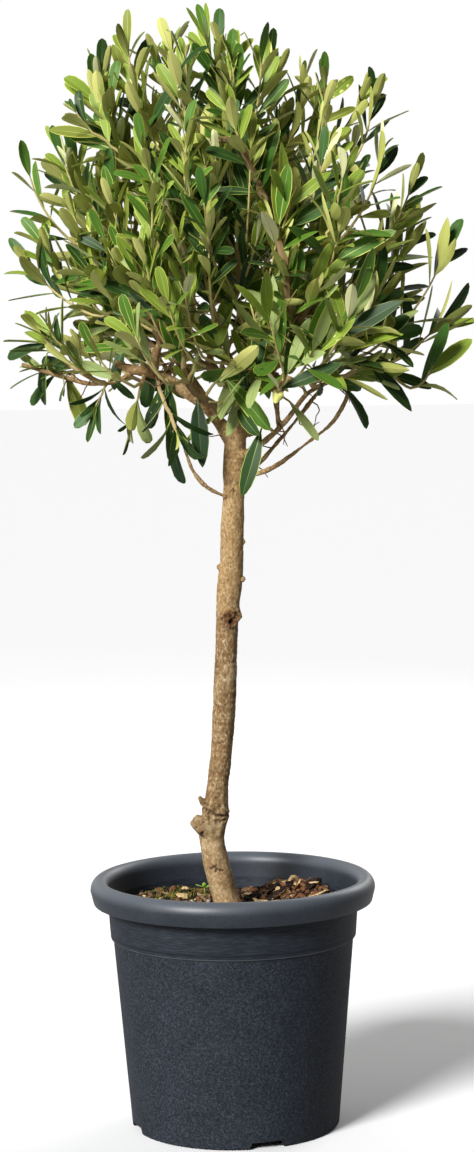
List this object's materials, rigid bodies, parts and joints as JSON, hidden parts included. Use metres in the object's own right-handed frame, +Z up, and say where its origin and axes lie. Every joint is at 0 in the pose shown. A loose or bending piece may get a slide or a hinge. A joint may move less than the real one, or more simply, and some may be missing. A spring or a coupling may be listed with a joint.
{
  "type": "potted olive tree",
  "caption": "Young olive tree with a bent bare trunk, spreading boughs and a loose rounded crown of narrow upright leaves, growing in a round plastic nursery pot with a rolled rim.",
  "frame": {"origin": "centre of the flat foot under the pot, level with the surface that the pot stands on", "axes": "+Z up along the pot's axis, -Y towards the front of the tree, +X to the right seen from the front"},
  "size_m": [0.461, 0.346, 1.113],
  "materials": {
    "pot_plastic": "satin",
    "root_ball": "matte",
    "bark": "matte",
    "foliage": "satin"
  },
  "bodies": {
    "root": {"bough_back_left": "bark", "bough_back_right": "bark", "bough_front": "bark", "bough_left": "bark", "bough_left_upright": "bark", "bough_right": "bark", "bough_right_inner": "bark", "bough_right_low": "bark", "bough_right_upright": "bark", "branch_left_long": "bark", "leader": "bark", "leader_side": "bark", "mass_back": "foliage", "mass_back_left": "foliage", "mass_back_right": "foliage", "mass_heart": "foliage", "mass_high_front": "foliage", "mass_high_left": "foliage", "mass_left_front": "foliage", "mass_left_low": "foliage", "mass_left_under": "foliage", "mass_low_front": "foliage", "mass_low_left": "foliage", "mass_right": "foliage", "mass_right_front": "foliage", "mass_right_low": "foliage", "mass_top": "foliage", "mass_top_left": "foliage", "mass_top_right": "foliage", "pot": "pot_plastic", "root_ball": "root_ball", "trunk": "bark", "twig_low_left": "bark"}
  },
  "joints": []
}
